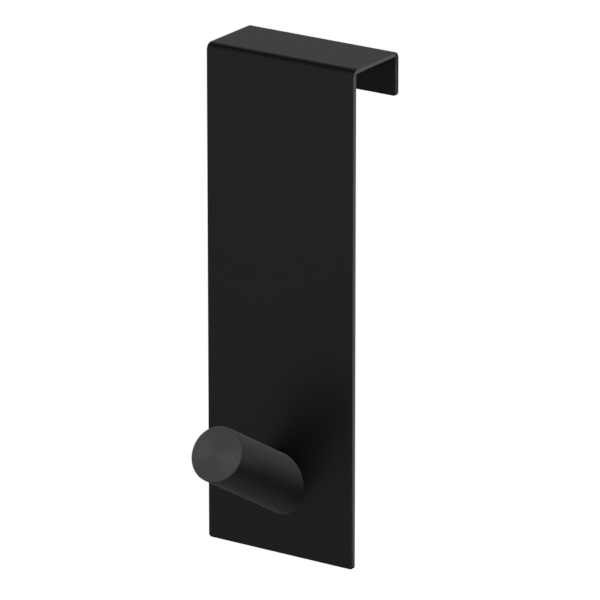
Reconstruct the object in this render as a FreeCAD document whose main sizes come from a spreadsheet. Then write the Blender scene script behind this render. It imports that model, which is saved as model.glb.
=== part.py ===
import FreeCAD, Part
import math
import os
import Sketcher

# Over-door hook: a strip of sheet folded over a door's top edge, with one slanted round peg on
# its front, held by two countersunk screws from behind.
# +Z is up, -Y points out of the door into the room, X runs along the door's top edge.
# The origin is the middle of the fold's underside, where it sits on the door.

os.makedirs("parts", exist_ok=True)
doc = FreeCAD.newDocument("over_door_hook")

# Driving dimensions, in millimetres, and degrees for the two angles.
DIMENSIONS = (
    ("plate_width", 50, "width of the folded strip"),
    ("plate_height", 150, "top of the fold to the bottom edge"),
    ("sheet_thickness", 1.5, "thickness of the strip"),
    ("door_gap", 20.5, "front plate's back to the lip's inner face"),
    ("lip_height", 13.2, "top of the fold to the lip's lower edge"),
    ("bend_radius", 0.6, "inner radius of both bends"),
    ("corner_radius", 1, "corners of the strip's two free ends"),
    ("edge_break", 0.3, "rounding along the strip's cut edges"),
    ("peg_diameter", 16.5, "round bar of the peg"),
    ("peg_length", 37.5, "along the axis, plate's face to the end face"),
    ("peg_tilt", 30, "degrees that the peg rises from level"),
    ("peg_rise", 21.7, "bottom edge to the middle of the peg's foot"),
    ("peg_end_chamfer", 0.2, "bevel round the peg's end face"),
    ("screw_spacing", 8, "between the two screws, up the plate"),
    ("screw_pair_rise", 1, "middle of the foot to the middle of the pair"),
    ("screw_diameter", 2.9, "outside of the screw's thread"),
    ("screw_length", 6, "whole screw, head included"),
    ("screw_end_chamfer", 0.4, "bevel at the screw's tip"),
    ("head_diameter", 6, "countersunk head"),
    ("head_rim", 0.1, "straight rim above the head's cone"),
    ("head_recess", 0.05, "head below the plate's back face"),
    ("hex_socket", 2, "across the flats of the key's socket"),
    ("hex_depth", 1.1, "depth of the key's socket"),
    ("plate_hole", 3.6, "clearance hole through the plate"),
    ("tapped_hole", 3, "hole in the peg's foot"),
    ("tapped_mouth", 0.3, "bevel at the tapped hole's mouth"),
    ("tapped_runout", 1, "hole past the screw's tip"),
    ("drill_angle", 118, "degrees, point of the drilled hole"),
    ("cone_clearance", 0.1, "round the head's cone where it enters the peg"),
)

sizes = doc.addObject("Spreadsheet::Sheet", "Sizes")
for row, (name, number, meaning) in enumerate(DIMENSIONS, start=1):
    sizes.set("A%d" % row, name)
    sizes.set("B%d" % row, str(number))
    sizes.set("C%d" % row, meaning)
    sizes.setAlias("B%d" % row, name)
doc.recompute()

# A sketch counts an edge's points up from 1 and its own two axes down from -1.
START, END, CENTRE = range(1, 4)
LEVEL_AXIS, UPRIGHT_AXIS = range(-1, -3, -1)
ORIGIN = (LEVEL_AXIS, START)
TOUCHING = 1e-6
BODIES = []


def size(name):
    """The sheet's value, for the first place of a sketch's points."""
    return float(sizes.get(name))


def new_body(name):
    """A sub-part of its own, under the name that its file gets."""
    body = doc.addObject("PartDesign::Body", name)
    body.Label = name
    body.Placement = FreeCAD.Placement()
    BODIES.append(body)
    return body


def new_sketch(body, name, role):
    """A sketch on one of the body's own origin planes."""
    plane = next(item for item in body.Origin.OriginFeatures if item.Role == role)
    sketch = body.newObject("Sketcher::SketchObject", name)
    sketch.AttachmentSupport = [(plane, "")]
    sketch.MapMode = "FlatFace"
    return sketch


def add_line(sketch, begin, finish, construction=False):
    """A straight edge between two points of the sketch's plane."""
    return sketch.addGeometry(Part.LineSegment(FreeCAD.Vector(*begin), FreeCAD.Vector(*finish)), construction)


def add_circle(sketch, centre, radius):
    """A full circle in the sketch's plane."""
    circle = Part.Circle(FreeCAD.Vector(*centre), FreeCAD.Vector(0, 0, 1), radius)
    return sketch.addGeometry(circle, False)


def add_arc(sketch, centre, radius, begin, finish):
    """An arc between two angles, in degrees."""
    circle = Part.Circle(FreeCAD.Vector(*centre), FreeCAD.Vector(0, 0, 1), radius)
    return sketch.addGeometry(Part.ArcOfCircle(circle, math.radians(begin), math.radians(finish)), False)


def constrain(sketch, *parts):
    """A geometric constraint, such as Coincident or Vertical."""
    sketch.addConstraint(Sketcher.Constraint(*parts))


def dimension(sketch, name, formula, *parts):
    """A named dimension that follows the sheet."""
    number = sketch.addConstraint(Sketcher.Constraint(*parts))
    sketch.renameConstraint(number, name)
    sketch.setExpression("Constraints." + name, formula)


def join_ends(sketch, edges):
    """Makes a closed loop: each edge's end meets the next one's start."""
    for edge, following in zip(edges, edges[1:] + edges[:1]):
        constrain(sketch, "Coincident", edge, END, following, START)


def edge_names(shape, wanted):
    """The names of the edges that a test picks."""
    return ["Edge%d" % number for number, edge in enumerate(shape.Edges, start=1) if wanted(edge)]


# Places that more than one piece uses, as formulas on the sheet and as numbers.
FACE_OUT = "Sizes.door_gap / 2 + Sizes.sheet_thickness"
FOOT_DROP = "Sizes.plate_height - Sizes.sheet_thickness - Sizes.peg_rise"
LOW_SCREW_DROP = FOOT_DROP + " - Sizes.screw_pair_rise + Sizes.screw_spacing / 2"
HEAD_SEAT = "(Sizes.head_recess + Sizes.head_rim)"
face_out = size("door_gap") / 2 + size("sheet_thickness")
foot_drop = size("plate_height") - size("sheet_thickness") - size("peg_rise")
low_screw_drop = foot_drop - size("screw_pair_rise") + size("screw_spacing") / 2

# The strip: one piece of sheet, bent twice over the door's top edge.
door_plate = new_body("door_plate")
gap = size("door_gap")
sheet = size("sheet_thickness")
inner = size("bend_radius")
lowest = sheet - size("plate_height")
lip_end = sheet - size("lip_height")

profile = new_sketch(door_plate, "folded_profile", "YZ_Plane")
lip_outer = add_line(profile, (gap / 2 + sheet, lip_end), (gap / 2 + sheet, -inner))
rear_outer = add_arc(profile, (gap / 2 - inner, -inner), inner + sheet, 0, 90)
top = add_line(profile, (gap / 2 - inner, sheet), (inner - gap / 2, sheet))
front_outer = add_arc(profile, (inner - gap / 2, -inner), inner + sheet, 90, 180)
face = add_line(profile, (-gap / 2 - sheet, -inner), (-gap / 2 - sheet, lowest))
bottom = add_line(profile, (-gap / 2 - sheet, lowest), (-gap / 2, lowest))
back = add_line(profile, (-gap / 2, lowest), (-gap / 2, -inner))
front_inner = add_arc(profile, (inner - gap / 2, -inner), inner, 90, 180)
seat = add_line(profile, (inner - gap / 2, 0), (gap / 2 - inner, 0))
rear_inner = add_arc(profile, (gap / 2 - inner, -inner), inner, 0, 90)
lip_inner = add_line(profile, (gap / 2, -inner), (gap / 2, lip_end))
lip_edge = add_line(profile, (gap / 2, lip_end), (gap / 2 + sheet, lip_end))

for line, line_point, arc, arc_point in (
    (lip_outer, END, rear_outer, START),
    (top, START, rear_outer, END),
    (top, END, front_outer, START),
    (face, START, front_outer, END),
    (back, END, front_inner, END),
    (seat, START, front_inner, START),
    (seat, END, rear_inner, END),
    (lip_inner, START, rear_inner, START),
):
    constrain(profile, "Tangent", line, line_point, arc, arc_point)
for first, second in ((face, bottom), (bottom, back), (lip_inner, lip_edge), (lip_edge, lip_outer)):
    constrain(profile, "Coincident", first, END, second, START)
for upright in (face, back, lip_outer, lip_inner):
    constrain(profile, "Vertical", upright)
for level in (top, seat, bottom, lip_edge):
    constrain(profile, "Horizontal", level)
constrain(profile, "Coincident", front_outer, CENTRE, front_inner, CENTRE)
constrain(profile, "Coincident", rear_outer, CENTRE, rear_inner, CENTRE)
constrain(profile, "PointOnObject", seat, START, LEVEL_AXIS)
constrain(profile, "Symmetric", back, END, lip_inner, START, UPRIGHT_AXIS)
dimension(profile, "inner_bend", "Sizes.bend_radius", "Radius", front_inner, inner)
dimension(profile, "thickness", "Sizes.sheet_thickness", "DistanceX", bottom, START, bottom, END, sheet)
dimension(profile, "slot", "Sizes.door_gap", "DistanceX", back, END, lip_inner, START, gap)
dimension(profile, "tall", "Sizes.plate_height", "DistanceY", face, END, top, END, sheet - lowest)
dimension(profile, "lip", "Sizes.lip_height", "DistanceY", lip_edge, END, top, START, sheet - lip_end)

fold = door_plate.newObject("PartDesign::Pad", "folded_strip")
fold.Profile = profile
fold.SideType = "Symmetric"
fold.setExpression("Length", "Sizes.plate_width")
doc.recompute()


def is_end_corner(edge):
    """True on the short edges across the sheet at the two free ends."""
    across = edge.Vertexes[0].Point - edge.Vertexes[-1].Point
    level = math.hypot(across.x, across.z) < TOUCHING
    return level and edge.CenterOfMass.z < -inner


corners = door_plate.newObject("PartDesign::Fillet", "end_corners")
corners.Base = (fold, edge_names(fold.Shape, is_end_corner))
corners.setExpression("Radius", "Sizes.corner_radius")
doc.recompute()


def is_cut_face(face):
    """True on the sheet's cut faces: its sides, its two ends and their round corners."""
    if isinstance(face.Surface, Part.Cylinder):
        return abs(face.Surface.Axis.y) > 1 - TOUCHING
    normal = face.normalAt(0, 0)
    return abs(normal.x) > 1 - TOUCHING or (abs(normal.z) > 1 - TOUCHING and face.CenterOfMass.z < -inner)


cut_faces = [face for face in corners.Shape.Faces if is_cut_face(face)]


def is_rim(edge):
    """True where a cut face meets one of the sheet's two broad sides."""
    return sum(any(edge.isSame(other) for other in face.Edges) for face in cut_faces) == 1


rim = door_plate.newObject("PartDesign::Fillet", "broken_edges")
rim.Base = (corners, edge_names(corners.Shape, is_rim))
rim.setExpression("Radius", "Sizes.edge_break")
doc.recompute()

# Two countersunk holes, drilled from the back for the peg's screws.
marks = new_sketch(door_plate, "screw_places", "XZ_Plane")
marks.setExpression("AttachmentOffset.Base.z", "Sizes.door_gap / 2")
for name, step in (("lower", 0), ("upper", 1)):
    drop = low_screw_drop - step * size("screw_spacing")
    mark = add_circle(marks, (0, -drop), size("plate_hole") / 2)
    constrain(marks, "PointOnObject", mark, CENTRE, UPRIGHT_AXIS)
    formula = LOW_SCREW_DROP + (" - Sizes.screw_spacing" if step else "")
    dimension(marks, name + "_drop", formula, "DistanceY", mark, CENTRE, *ORIGIN, drop)
    dimension(marks, name + "_width", "Sizes.plate_hole", "Diameter", mark, size("plate_hole"))
doc.recompute()

holes = door_plate.newObject("PartDesign::Hole", "screw_holes")
holes.Profile = marks
holes.Reversed = True
holes.ThreadType = "None"
holes.DepthType = "ThroughAll"
holes.setExpression("Diameter", "Sizes.plate_hole")
holes.HoleCutType = "Countersink"
holes.HoleCutCustomValues = True
holes.HoleCutCountersinkAngle = 90
holes.setExpression("HoleCutDiameter", "Sizes.head_diameter + 2 * " + HEAD_SEAT)
doc.recompute()

# The peg: round bar with a bevelled end face, sawn on a slant so that its foot lies on the plate.
hook_peg = new_body("hook_peg")
radius = size("peg_diameter") / 2
tilt = math.radians(size("peg_tilt"))
bevel = size("peg_end_chamfer")
length = size("peg_length")


def on_peg(along, out):
    """A point of the side view: along the peg's axis from the foot, and out from the axis."""
    level = -face_out - along * math.cos(tilt) + out * math.sin(tilt)
    return level, -foot_drop + along * math.sin(tilt) + out * math.cos(tilt)


bar = new_sketch(hook_peg, "bar_half", "YZ_Plane")
axis = add_line(bar, on_peg(0, 0), on_peg(length, 0), True)
end_face = add_line(bar, on_peg(length, 0), on_peg(length, radius - bevel))
end_bevel = add_line(bar, on_peg(length, radius - bevel), on_peg(length - bevel, radius))
flank = add_line(bar, on_peg(length - bevel, radius), on_peg(-2 * radius, radius))
stock_end = add_line(bar, on_peg(-2 * radius, radius), on_peg(-2 * radius, 0))
middle = add_line(bar, on_peg(-2 * radius, 0), on_peg(length, 0))
join_ends(bar, [end_face, end_bevel, flank, stock_end, middle])
constrain(bar, "Coincident", axis, END, end_face, START)
constrain(bar, "Parallel", axis, middle)
constrain(bar, "Parallel", axis, flank)
constrain(bar, "Perpendicular", axis, end_face)
constrain(bar, "Perpendicular", axis, stock_end)
dimension(bar, "foot_out", FACE_OUT, "DistanceX", axis, START, *ORIGIN, face_out)
dimension(bar, "foot_drop", FOOT_DROP, "DistanceY", axis, START, *ORIGIN, foot_drop)
dimension(bar, "tilt", "180 - Sizes.peg_tilt", "Angle", axis, math.pi - tilt)
dimension(bar, "long", "Sizes.peg_length", "Distance", axis, length)
dimension(bar, "half", "Sizes.peg_diameter / 2", "Distance", stock_end, radius)
dimension(bar, "spare", "Sizes.peg_diameter", "Distance", middle, START, axis, START, 2 * radius)
dimension(bar, "bevel_in", "Sizes.peg_diameter / 2 - Sizes.peg_end_chamfer", "Distance", end_face, radius - bevel)
dimension(bar, "bevel_along", "Sizes.peg_end_chamfer", "Distance", flank, START, end_face, bevel)

turned = hook_peg.newObject("PartDesign::Revolution", "turned_bar")
turned.Profile = bar
turned.ReferenceAxis = (bar, ["Axis0"])
turned.Angle = 360
doc.recompute()

# The slanted saw cut takes away all that lies behind the plate's front face.
saw = new_sketch(hook_peg, "saw_plane", "XZ_Plane")
saw.setExpression("AttachmentOffset.Base.z", FACE_OUT)
waste = add_circle(saw, (0, -foot_drop), 4 * radius)
constrain(saw, "PointOnObject", waste, CENTRE, UPRIGHT_AXIS)
dimension(saw, "waste_drop", FOOT_DROP, "DistanceY", waste, CENTRE, *ORIGIN, foot_drop)
dimension(saw, "waste_width", "4 * Sizes.peg_diameter", "Diameter", waste, 8 * radius)
doc.recompute()

foot = hook_peg.newObject("PartDesign::Pocket", "slanted_foot")
foot.Profile = saw
foot.Type = "ThroughAll"
doc.recompute()

# Two blind tapped holes square to the plate, each with a bevelled mouth and a drill point.
tapped = size("tapped_hole") / 2
entry = size("screw_length") - size("sheet_thickness") + size("head_recess") + size("tapped_runout")
ENTRY = "Sizes.screw_length - Sizes.sheet_thickness + Sizes.head_recess + Sizes.tapped_runout"
CONE_AT_FACE = "Sizes.head_diameter / 2 - Sizes.sheet_thickness + " + HEAD_SEAT + " + Sizes.cone_clearance"
MOUTH = "max(Sizes.tapped_hole / 2 + Sizes.tapped_mouth; " + CONE_AT_FACE + ")"
cone_at_face = size("head_diameter") / 2 - sheet + size("head_recess") + size("head_rim")
mouth = max(tapped + size("tapped_mouth"), cone_at_face + size("cone_clearance"))
point = tapped / math.tan(math.radians(size("drill_angle") / 2))


def in_foot(depth, out):
    """A point of the side view: depth into the foot, and out from the low screw's line."""
    return -face_out - depth, -low_screw_drop + out


drill = new_sketch(hook_peg, "tapped_half", "YZ_Plane")
centre_line = add_line(drill, in_foot(0, 0), in_foot(entry + point, 0), True)
opening = add_line(drill, in_foot(0, 0), in_foot(0, mouth))
lead_in = add_line(drill, in_foot(0, mouth), in_foot(mouth - tapped, tapped))
wall = add_line(drill, in_foot(mouth - tapped, tapped), in_foot(entry, tapped))
drill_point = add_line(drill, in_foot(entry, tapped), in_foot(entry + point, 0))
core = add_line(drill, in_foot(entry + point, 0), in_foot(0, 0))
join_ends(drill, [opening, lead_in, wall, drill_point, core])
constrain(drill, "Coincident", centre_line, START, opening, START)
constrain(drill, "Coincident", centre_line, END, core, START)
constrain(drill, "Horizontal", centre_line)
constrain(drill, "Horizontal", wall)
constrain(drill, "Vertical", opening)
dimension(drill, "hole_out", FACE_OUT, "DistanceX", opening, START, *ORIGIN, face_out)
dimension(drill, "hole_drop", LOW_SCREW_DROP, "DistanceY", opening, START, *ORIGIN, low_screw_drop)
dimension(drill, "mouth", MOUTH, "Distance", opening, mouth)
dimension(drill, "bore", "Sizes.tapped_hole / 2", "DistanceY", centre_line, END, wall, END, tapped)
dimension(drill, "lead", MOUTH + " - Sizes.tapped_hole / 2", "DistanceX", wall, START, opening, START, mouth - tapped)
dimension(drill, "deep", ENTRY, "DistanceX", wall, END, opening, START, entry)
dimension(drill, "point", "Sizes.tapped_hole / 2 / tan(Sizes.drill_angle / 2 * 1 deg)", "DistanceX",
          drill_point, END, drill_point, START, point)

blind_hole = hook_peg.newObject("PartDesign::Groove", "tapped_hole")
blind_hole.Profile = drill
blind_hole.ReferenceAxis = (drill, ["Axis0"])
blind_hole.Angle = 360
doc.recompute()

hole_pair = hook_peg.newObject("PartDesign::LinearPattern", "tapped_pair")
hole_pair.Originals = [blind_hole]
hole_pair.Direction = (drill, ["V_Axis"])
hole_pair.setExpression("Length", "Sizes.screw_spacing")
hole_pair.Occurrences = 2
hook_peg.Tip = hole_pair
doc.recompute()

# The screws: countersunk heads with a key's socket, flush with the plate's back.
peg_screws = new_body("peg_screws")
peg_screws.AllowCompound = True
head = size("head_diameter") / 2
shank = size("screw_diameter") / 2
rim_height = size("head_rim")
tip = size("screw_end_chamfer")
whole = size("screw_length")
head_out = gap / 2 + size("head_recess")
HEAD_OUT = "Sizes.door_gap / 2 + Sizes.head_recess"


def on_screw(along, out):
    """A point of the side view: along the low screw from its head, and out from its axis."""
    return -head_out - along, -low_screw_drop + out


turning = new_sketch(peg_screws, "screw_half", "YZ_Plane")
screw_axis = add_line(turning, on_screw(0, 0), on_screw(whole, 0), True)
head_top = add_line(turning, on_screw(0, 0), on_screw(0, head))
head_side = add_line(turning, on_screw(0, head), on_screw(rim_height, head))
cone = add_line(turning, on_screw(rim_height, head), on_screw(rim_height + head - shank, shank))
thread = add_line(turning, on_screw(rim_height + head - shank, shank), on_screw(whole - tip, shank))
tip_bevel = add_line(turning, on_screw(whole - tip, shank), on_screw(whole, shank - tip))
tip_face = add_line(turning, on_screw(whole, shank - tip), on_screw(whole, 0))
heart = add_line(turning, on_screw(whole, 0), on_screw(0, 0))
join_ends(turning, [head_top, head_side, cone, thread, tip_bevel, tip_face, heart])
constrain(turning, "Coincident", screw_axis, START, head_top, START)
constrain(turning, "Coincident", screw_axis, END, heart, START)
for level in (screw_axis, head_side, thread):
    constrain(turning, "Horizontal", level)
for upright in (head_top, tip_face):
    constrain(turning, "Vertical", upright)
dimension(turning, "head_out", HEAD_OUT, "DistanceX", head_top, START, *ORIGIN, head_out)
dimension(turning, "head_drop", LOW_SCREW_DROP, "DistanceY", head_top, START, *ORIGIN, low_screw_drop)
dimension(turning, "head", "Sizes.head_diameter / 2", "Distance", head_top, head)
dimension(turning, "rim", "Sizes.head_rim", "Distance", head_side, rim_height)
dimension(turning, "cone", "(Sizes.head_diameter - Sizes.screw_diameter) / 2", "DistanceX",
          cone, END, cone, START, head - shank)
dimension(turning, "shank", "Sizes.screw_diameter / 2", "DistanceY", screw_axis, END, thread, END, shank)
dimension(turning, "long", "Sizes.screw_length", "Distance", screw_axis, whole)
dimension(turning, "tip_along", "Sizes.screw_end_chamfer", "DistanceX", tip_bevel, END, tip_bevel, START, tip)
dimension(turning, "tip_in", "Sizes.screw_end_chamfer", "DistanceY", tip_bevel, END, tip_bevel, START, tip)

screw = peg_screws.newObject("PartDesign::Revolution", "turned_screw")
screw.Profile = turning
screw.ReferenceAxis = (turning, ["Axis0"])
screw.Angle = 360
doc.recompute()

key = new_sketch(peg_screws, "key_shape", "XZ_Plane")
key.setExpression("AttachmentOffset.Base.z", HEAD_OUT)
across_corners = size("hex_socket") / math.cos(math.pi / 6)
guide = add_circle(key, (0, -low_screw_drop), across_corners / 2)
key.setConstruction(guide, True)
corner_points = [
    (across_corners / 2 * math.cos(turn * math.pi / 3), across_corners / 2 * math.sin(turn * math.pi / 3))
    for turn in range(6)
]
flats = [
    add_line(key, (x, y - low_screw_drop), (next_x, next_y - low_screw_drop))
    for (x, y), (next_x, next_y) in zip(corner_points, corner_points[1:] + corner_points[:1])
]
join_ends(key, flats)
for flat in flats:
    constrain(key, "PointOnObject", flat, START, guide)
for flat in flats[1:]:
    constrain(key, "Equal", flats[0], flat)
constrain(key, "Horizontal", flats[1])
constrain(key, "PointOnObject", guide, CENTRE, UPRIGHT_AXIS)
dimension(key, "key_drop", LOW_SCREW_DROP, "DistanceY", guide, CENTRE, *ORIGIN, low_screw_drop)
dimension(key, "corners", "Sizes.hex_socket / cos(30 deg)", "Diameter", guide, across_corners)
doc.recompute()

socket = peg_screws.newObject("PartDesign::Pocket", "key_socket")
socket.Profile = key
socket.Reversed = True
socket.setExpression("Length", "Sizes.hex_depth")
doc.recompute()

screw_pair = peg_screws.newObject("PartDesign::LinearPattern", "screw_pair")
screw_pair.Originals = [screw, socket]
screw_pair.Direction = (turning, ["V_Axis"])
screw_pair.setExpression("Length", "Sizes.screw_spacing")
screw_pair.Occurrences = 2
peg_screws.Tip = screw_pair
doc.recompute()

for item in doc.Objects:
    if "Invalid" in item.State or "Error" in item.State:
        raise RuntimeError("%s failed: %s" % (item.Name, item.State))
for body in BODIES:
    shape = body.Shape
    if shape.isNull() or not shape.isValid():
        raise RuntimeError("%s has no valid shape" % body.Label)
    print(body.Label, "solids", len(shape.Solids), "volume", round(shape.Volume, 3))
    shape.exportStep(os.path.join("parts", body.Label + ".step"))
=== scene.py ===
import math

import bpy
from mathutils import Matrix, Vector

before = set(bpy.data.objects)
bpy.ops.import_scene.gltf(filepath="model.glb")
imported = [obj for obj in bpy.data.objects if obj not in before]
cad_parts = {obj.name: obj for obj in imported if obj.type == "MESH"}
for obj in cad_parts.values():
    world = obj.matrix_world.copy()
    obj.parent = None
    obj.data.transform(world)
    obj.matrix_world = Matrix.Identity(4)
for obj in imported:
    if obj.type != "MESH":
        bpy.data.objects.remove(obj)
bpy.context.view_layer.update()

# The camera looks down on the hook from the front right, through a long lens. Its turn, height,
# distance and lens were fitted to the hook's edges in the photograph.
azimuth = math.radians(33.465)
elevation = math.radians(18.674)
distance = 1.8285
aim = Vector((0.00694, -0.01175, -0.06975))
focal_length_px = 6410.3
image_side_px = 600
farthest_sight = 100
to_camera = Vector((
    math.sin(azimuth) * math.cos(elevation),
    -math.cos(azimuth) * math.cos(elevation),
    math.sin(elevation),
))
bpy.ops.object.camera_add(location=aim + distance * to_camera)
camera = bpy.context.object
camera.name = "camera"
camera.rotation_euler = (-to_camera).to_track_quat("-Z", "Y").to_euler()
camera.data.lens = focal_length_px / image_side_px * camera.data.sensor_width
camera.data.clip_end = farthest_sight
bpy.context.scene.camera = camera
bpy.context.scene.view_settings.view_transform = "Standard"


# The room is even and dim, with a plain pale floor as far below as under a real door. Floor and
# room show white to the eye and in reflections. Two soft boxes, overhead and below, light the hook.
class Socket:
    """One output in a node tree. Sums on it add Math nodes, and node() adds any other node."""

    def __init__(self, tree, output=None):
        self.tree = tree
        self.output = output

    def node(self, kind, settings, values, output=0):
        """Any node: its own settings first, then the values or links of its sockets."""
        made = self.tree.nodes.new(kind)
        for name, setting in settings.items():
            setattr(made, name, setting)
        for name, value in values.items():
            if isinstance(value, Socket):
                self.tree.links.new(value.output, made.inputs[name])
            else:
                made.inputs[name].default_value = value
        return Socket(self.tree, made.outputs[output] if made.outputs else None)

    def math(self, operation, *numbers):
        """A Math node on up to three values."""
        return self.node("ShaderNodeMath", {"operation": operation}, dict(enumerate(numbers)))

    def vector(self, operation, *vectors, output="Vector"):
        """A Vector Math node on up to three vectors."""
        values = dict(enumerate(vectors))
        return self.node("ShaderNodeVectorMath", {"operation": operation}, values, output)

    def coordinate(self, axis):
        """The X, Y or Z of this place."""
        return self.node("ShaderNodeSeparateXYZ", {}, {0: self}, axis)

    def step(self, low, high):
        """0 below low, 1 above high, smooth between."""
        limits = {"Value": self, "From Min": low, "From Max": high}
        return self.node("ShaderNodeMapRange", {"interpolation_type": "SMOOTHSTEP"}, limits)

    def noise(self, size, detail):
        """Even noise from 0 to 1 on this place, with specks of about that size."""
        return self.node("ShaderNodeTexNoise", {}, {"Vector": self, "Scale": 1 / size, "Detail": detail})

    def lines(self, pitch):
        """Uneven lines along this distance, from 0 to 1, about a pitch apart."""
        values = {"W": self, "Scale": 1 / pitch, "Detail": 1.0}
        return self.node("ShaderNodeTexNoise", {"noise_dimensions": "1D"}, values)

    def bump(self, depth):
        """The normal of a skin on which this height, from 0 to 1, stands up by that depth."""
        return self.node("ShaderNodeBump", {}, {"Height": self, "Strength": 1.0, "Distance": depth})

    def mix(self, first, second):
        """The first colour where this is 0, and the second where it is 1. A Mix node takes its
        colours in sockets 6 and 7 and gives the mixed one in socket 2."""
        return self.node("ShaderNodeMix", {"data_type": "RGBA"}, {0: self, 6: first, 7: second}, 2)

    def __add__(self, other):
        return self.math("ADD", self, other)

    __radd__ = __add__

    def __rsub__(self, other):
        return self.math("SUBTRACT", other, self)

    def __mul__(self, other):
        return self.math("MULTIPLY", self, other)

    __rmul__ = __mul__


def fresh_nodes(holder):
    """An empty node tree in a material or a world."""
    holder.use_nodes = True
    holder.node_tree.nodes.clear()
    return Socket(holder.node_tree)


def light_path(nodes, fact):
    """What kind of ray arrives, or after how many bounces."""
    return nodes.node("ShaderNodeLightPath", {}, {}, fact)


def seen_directly(nodes):
    """1 for what the eye sees, also in a reflection or through glass, and 0 for soft light."""
    kinds = ("Is Camera Ray", "Is Glossy Ray", "Is Transmission Ray")
    camera_ray, glossy_ray, transmission_ray = (light_path(nodes, kind) for kind in kinds)
    return nodes.math("MINIMUM", camera_ray + glossy_ray + transmission_ray, 1.0)


white = (1, 1, 1, 1)


def glow(nodes, grey):
    """A plain grey light."""
    return nodes.node("ShaderNodeEmission", {}, {"Color": white, "Strength": grey})


floor_pale = (0.8, 0.8, 0.8, 1)
floor_drop = 2.0
floor_side = 80.0
floor_glow = 0.96
bpy.ops.mesh.primitive_plane_add(size=floor_side, location=(0, 0, -floor_drop))
floor = bpy.context.object
floor.name = "floor"
floor_paint = bpy.data.materials.new("floor_paint")
nodes = fresh_nodes(floor_paint)
matt = nodes.node("ShaderNodeBsdfDiffuse", {}, {"Color": floor_pale})
lifted = nodes.node("ShaderNodeAddShader", {}, {0: matt, 1: glow(nodes, floor_glow)})
surface = nodes.node("ShaderNodeMixShader", {}, {0: seen_directly(nodes), 1: matt, 2: lifted})
nodes.node("ShaderNodeOutputMaterial", {}, {"Surface": surface})
floor.data.materials.append(floor_paint)

room_light = 0.04
room = bpy.data.worlds.new("room")
bpy.context.scene.world = room
nodes = fresh_nodes(room)
strength = room_light + (1 - room_light) * seen_directly(nodes)
surface = nodes.node("ShaderNodeBackground", {}, {"Color": white, "Strength": strength})
nodes.node("ShaderNodeOutputWorld", {}, {"Surface": surface})

hook_middle = Vector((0, -0.012, -0.07))


def soft_box(name, toward, reach, side, level):
    """A square even lamp that faces the hook's middle. A level of 1 lights a surface that faces it
    so that its colour shows as it is written."""
    place = hook_middle + reach * Vector(toward).normalized()
    bpy.ops.object.light_add(type="AREA", location=place)
    lamp = bpy.context.object
    lamp.name = name
    lamp.rotation_euler = (hook_middle - place).to_track_quat("-Z", "Y").to_euler()
    lamp.data.size = side
    lamp.data.energy = level * (math.pi * reach) ** 2
    lamp.visible_camera = False
    lamp.visible_glossy = False


soft_box("overhead", toward=(0.08, -0.36, 0.929), reach=1.4, side=0.5, level=1.1)
soft_box("below", toward=(-0.386, -0.461, -0.799), reach=1.2, side=0.6, level=0.85)


# Flags keep the white room out of the black coat's reflections, as is done to photograph black
# things. Cards on the right light the cut edges, and one behind on the left lights the door's slot.
def card(name, middle, turn, size, grey, bounces=1):
    """A flat card, turned by these degrees, that only reflections see, and only from the given
    number of bounces on."""
    turn = [math.radians(angle) for angle in turn]
    bpy.ops.mesh.primitive_plane_add(size=1, location=middle, rotation=turn)
    sheet = bpy.context.object
    sheet.name = name
    sheet.scale = (*size, 1)
    sheet.visible_camera = False
    sheet.visible_diffuse = False
    sheet.visible_transmission = False
    sheet.visible_shadow = False
    paint = bpy.data.materials.new(name)
    nodes = fresh_nodes(paint)
    far_enough = nodes.math("GREATER_THAN", light_path(nodes, "Ray Depth"), bounces - 0.5)
    clear = nodes.node("ShaderNodeBsdfTransparent", {}, {})
    surface = nodes.node("ShaderNodeMixShader", {}, {0: far_enough, 1: clear, 2: glow(nodes, grey)})
    nodes.node("ShaderNodeOutputMaterial", {}, {"Surface": surface})
    sheet.data.materials.append(paint)


card("under_flag", middle=(-0.45, 0.06, -0.35), turn=(0, 0, 0), size=(2.1, 0.72), grey=0.03)
card("near_flag", middle=(-0.725, -0.65, -0.35), turn=(0, 0, 0), size=(1.55, 0.7), grey=0.345)
card("front_flag", middle=(-1.1, -1.0, 0.315), turn=(90, 0, 0), size=(2.8, 1.33), grey=0.35)
card("upper_flag", middle=(-1.1, -1.0, 1.09), turn=(90, 0, 0), size=(2.8, 0.22), grey=0.01)
card("top_flag", middle=(-0.7, -0.27, 1.2), turn=(0, 0, 0), size=(3.0, 1.76), grey=0.01)
card("back_flag", middle=(-1.2, 0.872, 0.485), turn=(119.3, 0, 0), size=(2.6, 1.34), grey=0.395)
card("right_flag", middle=(1.0, 1.1, -0.75), turn=(90, 0, -45), size=(2.4, 1.5), grey=0.05)
card("side_card", middle=(1.1, -0.35, -0.5), turn=(90, 0, 90), size=(1.6, 0.8), grey=2.2)
card("rim_card", middle=(0.66, 0.99, -0.49), turn=(90, 0, -33.5), size=(0.22, 0.44), grey=1.3)
card("slot_card", middle=(-0.85, 1.1, -0.5), turn=(90, 0, 33.5), size=(1.2, 0.9), grey=11, bounces=2)


# The door plate is one strip of sheet steel, cut out, its edges broken, folded twice over the door's
# top edge and coated in matt black powder. The powder bakes to a fine, slightly uneven skin, thinner
# and smoother on the cut edges. Only the lip's edges keep the thick, rougher skin.
plate_side = 0.025
plate_bottom = -0.1485
edge_wrap = 0.0003
lip_from = 0.0095
lip_full = 0.0105
plate_coat = bpy.data.materials.new("matt_black_powder")
nodes = fresh_nodes(plate_coat)
place = nodes.node("ShaderNodeTexCoord", {}, {}, "Object")
from_middle = nodes.math("ABSOLUTE", place.coordinate("X"))
on_lip = place.coordinate("Y").step(lip_from, lip_full)
side_edge = from_middle.step(plate_side - edge_wrap, plate_side) * (1 - on_lip)
lower_edge = 1 - place.coordinate("Z").step(plate_bottom, plate_bottom + edge_wrap)
cut_edge = nodes.math("MAXIMUM", side_edge, lower_edge)

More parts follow.
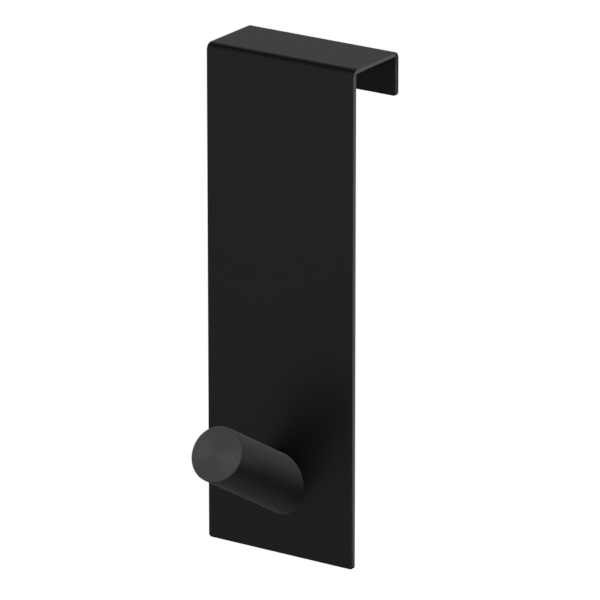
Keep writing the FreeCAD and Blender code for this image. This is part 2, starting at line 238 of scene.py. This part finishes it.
cloud_size = 0.006
deep_black = (0.0012, 0.0012, 0.0013, 1)
cloudy_black = (0.0022, 0.0022, 0.0023, 1)
peel_size = 0.0016
peel_share = 0.6
powder_size = 0.0003
powder_share = 0.4
skin_depth = 0.00001
powder_roughness = 0.41
peel_roughness = 0.06
edge_smoothing = 0.6
cloud = place.noise(cloud_size, detail=2.0)
peel = place.noise(peel_size, detail=2.0)
powder = place.noise(powder_size, detail=3.0)
surface = nodes.node(
    "ShaderNodeBsdfPrincipled", {},
    {
        "Base Color": cloud.mix(deep_black, cloudy_black),
        "Roughness": (powder_roughness + peel_roughness * peel) * (1 - edge_smoothing * cut_edge),
        "Normal": (peel_share * peel + powder_share * powder).bump(skin_depth),
    },
)
nodes.node("ShaderNodeOutputMaterial", {}, {"Surface": surface})
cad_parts["door_plate"].material_slots[0].material = plate_coat


# The hook peg is a solid bar, parted off and faced on a lathe, cut on a slant at its foot so that it
# lies flat on the plate, and coated thinly in matt black. Under the thin coat the bar still shows
# its turning marks: rings on the end face, and shallower ones round its wall.
peg_tilt = math.radians(30)
peg_axis = (0, -math.cos(peg_tilt), math.sin(peg_tilt))
peg_foot = (0, -0.01175, -0.1268)
peg_length = 0.0375
peg_coat = bpy.data.materials.new("thin_black_coat")
nodes = fresh_nodes(peg_coat)
place = nodes.node("ShaderNodeTexCoord", {}, {}, "Object")
from_foot = nodes.vector("SUBTRACT", place, peg_foot)
along = nodes.vector("DOT_PRODUCT", from_foot, peg_axis, output="Value")
off_axis = nodes.vector("SUBTRACT", from_foot, nodes.vector("PROJECT", from_foot, peg_axis))
radius = nodes.vector("LENGTH", off_axis, output="Value")

grain_size = 0.0003
grain_roughness = 0.06
wall_dark = (0.042, 0.042, 0.043, 1)
wall_light = (0.050, 0.050, 0.051, 1)
wall_roughness = 0.41
wall_pitch = 0.00016
wall_mark_depth = 0.000006
wall_mark_share = 0.6
wall_grain_share = 0.5
grain = place.noise(grain_size, detail=3.0)
wall_marks = wall_mark_share * along.lines(wall_pitch) + wall_grain_share * grain
wall = nodes.node(
    "ShaderNodeBsdfPrincipled", {},
    {
        "Base Color": grain.mix(wall_dark, wall_light),
        "Diffuse Roughness": 1.0,
        "Roughness": wall_roughness + grain_roughness * grain,
        "Specular IOR Level": 0.2,
        "Sheen Weight": 1.0,
        "Sheen Roughness": 0.2,
        "Normal": wall_marks.bump(wall_mark_depth),
    },
)

face_dark = (0.046, 0.046, 0.047, 1)
face_light = (0.053, 0.053, 0.054, 1)
face_band = 0.0012
face_roughness = 0.32
ring_pitch = 0.00015
ring_depth = 0.0001
ring_grain_share = 0.1
face_from = peg_length - 0.00006
face_full = peg_length - 0.00001
rings = radius.lines(ring_pitch) + ring_grain_share * grain
end_face = nodes.node(
    "ShaderNodeBsdfPrincipled", {},
    {
        "Base Color": radius.lines(face_band).mix(face_dark, face_light),
        "Roughness": face_roughness + grain_roughness * grain,
        "Normal": rings.bump(ring_depth),
    },
)
at_end = along.step(face_from, face_full)
surface = nodes.node("ShaderNodeMixShader", {}, {0: at_end, 1: wall, 2: end_face})
nodes.node("ShaderNodeOutputMaterial", {}, {"Surface": surface})
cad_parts["hook_peg"].material_slots[0].material = peg_coat


# The peg screws are two stainless countersunk screws with hexagon sockets, driven from behind
# through the plate into the peg. Their heads are faced, which leaves fine rings. Socket, cone and
# shank are painted a darker grey, partly the duller grey of the forging and partly painted shade
# in the socket's hollow.
screw_pair_middle = (0, 0, -0.1258)
half_spacing = (0, 0, 0.004)
in_head_plane = (1, 0, 1)
head_top = -0.0103
forged_and_shaded_from = 0.00015
forged_and_shaded_full = 0.0003
screw_steel = bpy.data.materials.new("bare_stainless_steel")
nodes = fresh_nodes(screw_steel)
place = nodes.node("ShaderNodeTexCoord", {}, {}, "Object")
# Below the head's faced top: the forging's duller finish, and painted shade in the socket's hollow.
forged_and_shaded = (head_top - place.coordinate("Y")).step(forged_and_shaded_from, forged_and_shaded_full)
on_head = nodes.vector("MULTIPLY", nodes.vector("SUBTRACT", place, screw_pair_middle), in_head_plane)
off_axis = nodes.vector("SUBTRACT", nodes.vector("ABSOLUTE", on_head), half_spacing)
radius = nodes.vector("LENGTH", off_axis, output="Value")

faced_steel = (0.55, 0.55, 0.56, 1)
# This darker grey is partly the forging's own duller tone and partly painted shade in the socket's
# hollow.
forged_and_shaded_steel = (0.22, 0.22, 0.225, 1)
smudge_size = 0.002
faced_roughness = 0.2
smudge_roughness = 0.12
forged_roughness = 0.2
head_ring_pitch = 0.00012
scale_size = 0.0002
scale_share = 0.5
head_mark_depth = 0.000005
smudge = place.noise(smudge_size, detail=2.0)
scale = place.noise(scale_size, detail=2.0)
marks = radius.lines(head_ring_pitch) + scale_share * forged_and_shaded * scale
surface = nodes.node(
    "ShaderNodeBsdfPrincipled", {},
    {
        "Base Color": forged_and_shaded.mix(faced_steel, forged_and_shaded_steel),
        "Metallic": 1.0,
        "Roughness": faced_roughness + smudge_roughness * smudge + forged_roughness * forged_and_shaded,
        "Normal": marks.bump(head_mark_depth),
    },
)
nodes.node("ShaderNodeOutputMaterial", {}, {"Surface": surface})
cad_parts["peg_screws"].material_slots[0].material = screw_steel
